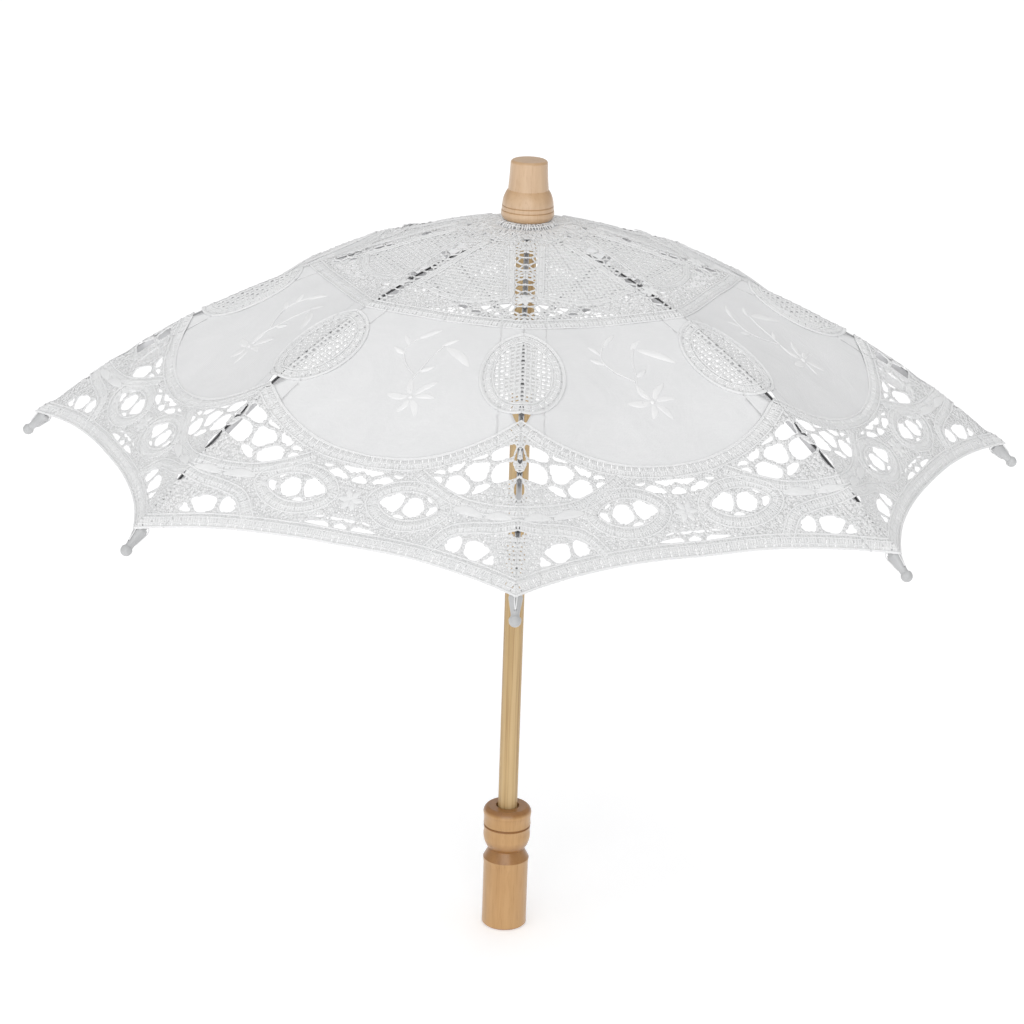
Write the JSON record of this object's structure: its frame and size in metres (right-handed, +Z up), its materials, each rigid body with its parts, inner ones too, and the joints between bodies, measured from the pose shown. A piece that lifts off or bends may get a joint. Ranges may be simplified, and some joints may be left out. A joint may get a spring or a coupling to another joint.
{
  "type": "lace parasol",
  "caption": "Small round lace parasol with curved fluted ribs on a wooden stick, which folds by a sliding runner and has a turned handle.",
  "frame": {"origin": "centre of the handle's flat bottom end", "axes": "+Z up the shaft to the finial; rib 1 points to -Y, and the ribs are numbered counter-clockwise seen from above"},
  "size_m": [0.448, 0.448, 0.3684],
  "materials": {
    "handle_wood": "satin",
    "shaft_wood": "satin",
    "finial_wood": "satin",
    "white_plastic": "satin",
    "tip_plastic": "satin",
    "fluted_steel": "satin",
    "steel_wire": "satin",
    "stiffened_lace": "matte",
    "lace": "matte"
  },
  "bodies": {
    "stick": {"handle": "handle_wood", "shaft": "shaft_wood", "finial": "finial_wood", "crown_washer": "stiffened_lace", "top_notch": "white_plastic", "notch_wire": "steel_wire", "stop_pin": "steel_wire", "catch_pin": "steel_wire"},
    "runner_body": {"runner": "white_plastic", "runner_wire": "steel_wire"},
    "catch": {"catch_spring": "steel_wire"},
    "rib_body_1": {"rib_1": "fluted_steel", "joint_rivet_1": "steel_wire", "tip_cap_1": "tip_plastic"},
    "stretcher_body_1": {"stretcher_1": "fluted_steel"},
    "canopy_left_body_1": {"canopy_left_1": "lace"},
    "canopy_right_body_1": {"canopy_right_1": "lace"},
    "rib_body_2": {"rib_2": "fluted_steel", "joint_rivet_2": "steel_wire", "tip_cap_2": "tip_plastic"},
    "stretcher_body_2": {"stretcher_2": "fluted_steel"},
    "canopy_left_body_2": {"canopy_left_2": "lace"},
    "canopy_right_body_2": {"canopy_right_2": "lace"},
    "rib_body_3": {"rib_3": "fluted_steel", "joint_rivet_3": "steel_wire", "tip_cap_3": "tip_plastic"},
    "stretcher_body_3": {"stretcher_3": "fluted_steel"},
    "canopy_left_body_3": {"canopy_left_3": "lace"},
    "canopy_right_body_3": {"canopy_right_3": "lace"},
    "rib_body_4": {"rib_4": "fluted_steel", "joint_rivet_4": "steel_wire", "tip_cap_4": "tip_plastic"},
    "stretcher_body_4": {"stretcher_4": "fluted_steel"},
    "canopy_left_body_4": {"canopy_left_4": "lace"},
    "canopy_right_body_4": {"canopy_right_4": "lace"},
    "rib_body_5": {"rib_5": "fluted_steel", "joint_rivet_5": "steel_wire", "tip_cap_5": "tip_plastic"},
    "stretcher_body_5": {"stretcher_5": "fluted_steel"},
    "canopy_left_body_5": {"canopy_left_5": "lace"},
    "canopy_right_body_5": {"canopy_right_5": "lace"},
    "rib_body_6": {"rib_6": "fluted_steel", "joint_rivet_6": "steel_wire", "tip_cap_6": "tip_plastic"},
    "stretcher_body_6": {"stretcher_6": "fluted_steel"},
    "canopy_left_body_6": {"canopy_left_6": "lace"},
    "canopy_right_body_6": {"canopy_right_6": "lace"},
    "rib_body_7": {"rib_7": "fluted_steel", "joint_rivet_7": "steel_wire", "tip_cap_7": "tip_plastic"},
    "stretcher_body_7": {"stretcher_7": "fluted_steel"},
    "canopy_left_body_7": {"canopy_left_7": "lace"},
    "canopy_right_body_7": {"canopy_right_7": "lace"},
    "rib_body_8": {"rib_8": "fluted_steel", "joint_rivet_8": "steel_wire", "tip_cap_8": "tip_plastic"},
    "stretcher_body_8": {"stretcher_8": "fluted_steel"},
    "canopy_left_body_8": {"canopy_left_8": "lace"},
    "canopy_right_body_8": {"canopy_right_8": "lace"}
  },
  "joints": [
    {"name": "runner_slide", "type": "slide", "parent": "stick", "child": "runner_body", "axis": [0, 0, 1], "range_m": [-0.08163, 0], "deforming": ["canopy_left_1", "canopy_right_1", "canopy_left_2", "canopy_right_2", "canopy_left_3", "canopy_right_3", "canopy_left_4", "canopy_right_4", "canopy_left_5", "canopy_right_5", "canopy_left_6", "canopy_right_6", "canopy_left_7", "canopy_right_7", "canopy_left_8", "canopy_right_8", "catch_spring"]},
    {"name": "rib_hinge_1", "type": "hinge", "parent": "stick", "child": "rib_body_1", "pos_m": [0, -0.008, 0.3372], "axis": [1, 0, 0], "range_deg": [0, 64.03]},
    {"name": "stretcher_hinge_1", "type": "hinge", "parent": "rib_body_1", "child": "stretcher_body_1", "pos_m": [0, -0.068, 0.32475], "axis": [-1, 0, 0], "range_deg": [0, 113.61]},
    {"name": "canopy_left_fold_1", "type": "hinge", "parent": "rib_body_1", "child": "canopy_left_body_1", "pos_m": [0, -0.008, 0.3372], "axis": [0, 0.9062, 0.423], "range_deg": [0, 70.02]},
    {"name": "canopy_right_fold_1", "type": "hinge", "parent": "rib_body_1", "child": "canopy_right_body_1", "pos_m": [0, -0.008, 0.3372], "axis": [0, -0.9062, -0.423], "range_deg": [0, 70.02]},
    {"name": "rib_hinge_2", "type": "hinge", "parent": "stick", "child": "rib_body_2", "pos_m": [0.00566, -0.00566, 0.3372], "axis": [0.7071, 0.7071, 0], "range_deg": [0, 64.03]},
    {"name": "stretcher_hinge_2", "type": "hinge", "parent": "rib_body_2", "child": "stretcher_body_2", "pos_m": [0.04808, -0.04808, 0.32475], "axis": [-0.7071, -0.7071, 0], "range_deg": [0, 113.61]},
    {"name": "canopy_left_fold_2", "type": "hinge", "parent": "rib_body_2", "child": "canopy_left_body_2", "pos_m": [0.00566, -0.00566, 0.3372], "axis": [-0.6407, 0.6407, 0.423], "range_deg": [0, 70.02]},
    {"name": "canopy_right_fold_2", "type": "hinge", "parent": "rib_body_2", "child": "canopy_right_body_2", "pos_m": [0.00566, -0.00566, 0.3372], "axis": [0.6407, -0.6407, -0.423], "range_deg": [0, 70.02]},
    {"name": "rib_hinge_3", "type": "hinge", "parent": "stick", "child": "rib_body_3", "pos_m": [0.008, 0, 0.3372], "axis": [0, 1, 0], "range_deg": [0, 64.03]},
    {"name": "stretcher_hinge_3", "type": "hinge", "parent": "rib_body_3", "child": "stretcher_body_3", "pos_m": [0.068, 0, 0.32475], "axis": [0, -1, 0], "range_deg": [0, 113.61]},
    {"name": "canopy_left_fold_3", "type": "hinge", "parent": "rib_body_3", "child": "canopy_left_body_3", "pos_m": [0.008, 0, 0.3372], "axis": [-0.9062, 0, 0.423], "range_deg": [0, 70.02]},
    {"name": "canopy_right_fold_3", "type": "hinge", "parent": "rib_body_3", "child": "canopy_right_body_3", "pos_m": [0.008, 0, 0.3372], "axis": [0.9062, 0, -0.423], "range_deg": [0, 70.02]},
    {"name": "rib_hinge_4", "type": "hinge", "parent": "stick", "child": "rib_body_4", "pos_m": [0.00566, 0.00566, 0.3372], "axis": [-0.7071, 0.7071, 0], "range_deg": [0, 64.03]},
    {"name": "stretcher_hinge_4", "type": "hinge", "parent": "rib_body_4", "child": "stretcher_body_4", "pos_m": [0.04808, 0.04808, 0.32475], "axis": [0.7071, -0.7071, 0], "range_deg": [0, 113.61]},
    {"name": "canopy_left_fold_4", "type": "hinge", "parent": "rib_body_4", "child": "canopy_left_body_4", "pos_m": [0.00566, 0.00566, 0.3372], "axis": [-0.6407, -0.6407, 0.423], "range_deg": [0, 70.02]},
    {"name": "canopy_right_fold_4", "type": "hinge", "parent": "rib_body_4", "child": "canopy_right_body_4", "pos_m": [0.00566, 0.00566, 0.3372], "axis": [0.6407, 0.6407, -0.423], "range_deg": [0, 70.02]},
    {"name": "rib_hinge_5", "type": "hinge", "parent": "stick", "child": "rib_body_5", "pos_m": [0, 0.008, 0.3372], "axis": [-1, 0, 0], "range_deg": [0, 64.03]},
    {"name": "stretcher_hinge_5", "type": "hinge", "parent": "rib_body_5", "child": "stretcher_body_5", "pos_m": [0, 0.068, 0.32475], "axis": [1, 0, 0], "range_deg": [0, 113.61]},
    {"name": "canopy_left_fold_5", "type": "hinge", "parent": "rib_body_5", "child": "canopy_left_body_5", "pos_m": [0, 0.008, 0.3372], "axis": [0, -0.9062, 0.423], "range_deg": [0, 70.02]},
    {"name": "canopy_right_fold_5", "type": "hinge", "parent": "rib_body_5", "child": "canopy_right_body_5", "pos_m": [0, 0.008, 0.3372], "axis": [0, 0.9062, -0.423], "range_deg": [0, 70.02]},
    {"name": "rib_hinge_6", "type": "hinge", "parent": "stick", "child": "rib_body_6", "pos_m": [-0.00566, 0.00566, 0.3372], "axis": [-0.7071, -0.7071, 0], "range_deg": [0, 64.03]},
    {"name": "stretcher_hinge_6", "type": "hinge", "parent": "rib_body_6", "child": "stretcher_body_6", "pos_m": [-0.04808, 0.04808, 0.32475], "axis": [0.7071, 0.7071, 0], "range_deg": [0, 113.61]},
    {"name": "canopy_left_fold_6", "type": "hinge", "parent": "rib_body_6", "child": "canopy_left_body_6", "pos_m": [-0.00566, 0.00566, 0.3372], "axis": [0.6407, -0.6407, 0.423], "range_deg": [0, 70.02]},
    {"name": "canopy_right_fold_6", "type": "hinge", "parent": "rib_body_6", "child": "canopy_right_body_6", "pos_m": [-0.00566, 0.00566, 0.3372], "axis": [-0.6407, 0.6407, -0.423], "range_deg": [0, 70.02]},
    {"name": "rib_hinge_7", "type": "hinge", "parent": "stick", "child": "rib_body_7", "pos_m": [-0.008, 0, 0.3372], "axis": [0, -1, 0], "range_deg": [0, 64.03]},
    {"name": "stretcher_hinge_7", "type": "hinge", "parent": "rib_body_7", "child": "stretcher_body_7", "pos_m": [-0.068, 0, 0.32475], "axis": [0, 1, 0], "range_deg": [0, 113.61]},
    {"name": "canopy_left_fold_7", "type": "hinge", "parent": "rib_body_7", "child": "canopy_left_body_7", "pos_m": [-0.008, 0, 0.3372], "axis": [0.9062, 0, 0.423], "range_deg": [0, 70.02]},
    {"name": "canopy_right_fold_7", "type": "hinge", "parent": "rib_body_7", "child": "canopy_right_body_7", "pos_m": [-0.008, 0, 0.3372], "axis": [-0.9062, 0, -0.423], "range_deg": [0, 70.02]},
    {"name": "rib_hinge_8", "type": "hinge", "parent": "stick", "child": "rib_body_8", "pos_m": [-0.00566, -0.00566, 0.3372], "axis": [0.7071, -0.7071, 0], "range_deg": [0, 64.03]},
    {"name": "stretcher_hinge_8", "type": "hinge", "parent": "rib_body_8", "child": "stretcher_body_8", "pos_m": [-0.04808, -0.04808, 0.32475], "axis": [-0.7071, 0.7071, 0], "range_deg": [0, 113.61]},
    {"name": "canopy_left_fold_8", "type": "hinge", "parent": "rib_body_8", "child": "canopy_left_body_8", "pos_m": [-0.00566, -0.00566, 0.3372], "axis": [0.6407, 0.6407, 0.423], "range_deg": [0, 70.02]},
    {"name": "canopy_right_fold_8", "type": "hinge", "parent": "rib_body_8", "child": "canopy_right_body_8", "pos_m": [-0.00566, -0.00566, 0.3372], "axis": [-0.6407, -0.6407, -0.423], "range_deg": [0, 70.02]},
    {"name": "catch_press", "type": "hinge", "parent": "stick", "child": "catch", "pos_m": [0.00148, 0.00061, 0.2331], "axis": [0.3827, -0.9239, 0], "range_deg": [0, 5], "stiffness_Nm_per_rad": 0.01}
  ],
  "couplings": [
    {"joint": "rib_hinge_1", "follows": "runner_slide", "rad_per_m": -13.685},
    {"joint": "stretcher_hinge_1", "follows": "runner_slide", "rad_per_m": -24.288},
    {"joint": "canopy_left_fold_1", "follows": "runner_slide", "rad_per_m": -14.967},
    {"joint": "canopy_right_fold_1", "follows": "runner_slide", "rad_per_m": -14.967},
    {"joint": "rib_hinge_2", "follows": "runner_slide", "rad_per_m": -13.685},
    {"joint": "stretcher_hinge_2", "follows": "runner_slide", "rad_per_m": -24.288},
    {"joint": "canopy_left_fold_2", "follows": "runner_slide", "rad_per_m": -14.967},
    {"joint": "canopy_right_fold_2", "follows": "runner_slide", "rad_per_m": -14.967},
    {"joint": "rib_hinge_3", "follows": "runner_slide", "rad_per_m": -13.685},
    {"joint": "stretcher_hinge_3", "follows": "runner_slide", "rad_per_m": -24.288},
    {"joint": "canopy_left_fold_3", "follows": "runner_slide", "rad_per_m": -14.967},
    {"joint": "canopy_right_fold_3", "follows": "runner_slide", "rad_per_m": -14.967},
    {"joint": "rib_hinge_4", "follows": "runner_slide", "rad_per_m": -13.685},
    {"joint": "stretcher_hinge_4", "follows": "runner_slide", "rad_per_m": -24.288},
    {"joint": "canopy_left_fold_4", "follows": "runner_slide", "rad_per_m": -14.967},
    {"joint": "canopy_right_fold_4", "follows": "runner_slide", "rad_per_m": -14.967},
    {"joint": "rib_hinge_5", "follows": "runner_slide", "rad_per_m": -13.685},
    {"joint": "stretcher_hinge_5", "follows": "runner_slide", "rad_per_m": -24.288},
    {"joint": "canopy_left_fold_5", "follows": "runner_slide", "rad_per_m": -14.967},
    {"joint": "canopy_right_fold_5", "follows": "runner_slide", "rad_per_m": -14.967},
    {"joint": "rib_hinge_6", "follows": "runner_slide", "rad_per_m": -13.685},
    {"joint": "stretcher_hinge_6", "follows": "runner_slide", "rad_per_m": -24.288},
    {"joint": "canopy_left_fold_6", "follows": "runner_slide", "rad_per_m": -14.967},
    {"joint": "canopy_right_fold_6", "follows": "runner_slide", "rad_per_m": -14.967},
    {"joint": "rib_hinge_7", "follows": "runner_slide", "rad_per_m": -13.685},
    {"joint": "stretcher_hinge_7", "follows": "runner_slide", "rad_per_m": -24.288},
    {"joint": "canopy_left_fold_7", "follows": "runner_slide", "rad_per_m": -14.967},
    {"joint": "canopy_right_fold_7", "follows": "runner_slide", "rad_per_m": -14.967},
    {"joint": "rib_hinge_8", "follows": "runner_slide", "rad_per_m": -13.685},
    {"joint": "stretcher_hinge_8", "follows": "runner_slide", "rad_per_m": -24.288},
    {"joint": "canopy_left_fold_8", "follows": "runner_slide", "rad_per_m": -14.967},
    {"joint": "canopy_right_fold_8", "follows": "runner_slide", "rad_per_m": -14.967}
  ]
}
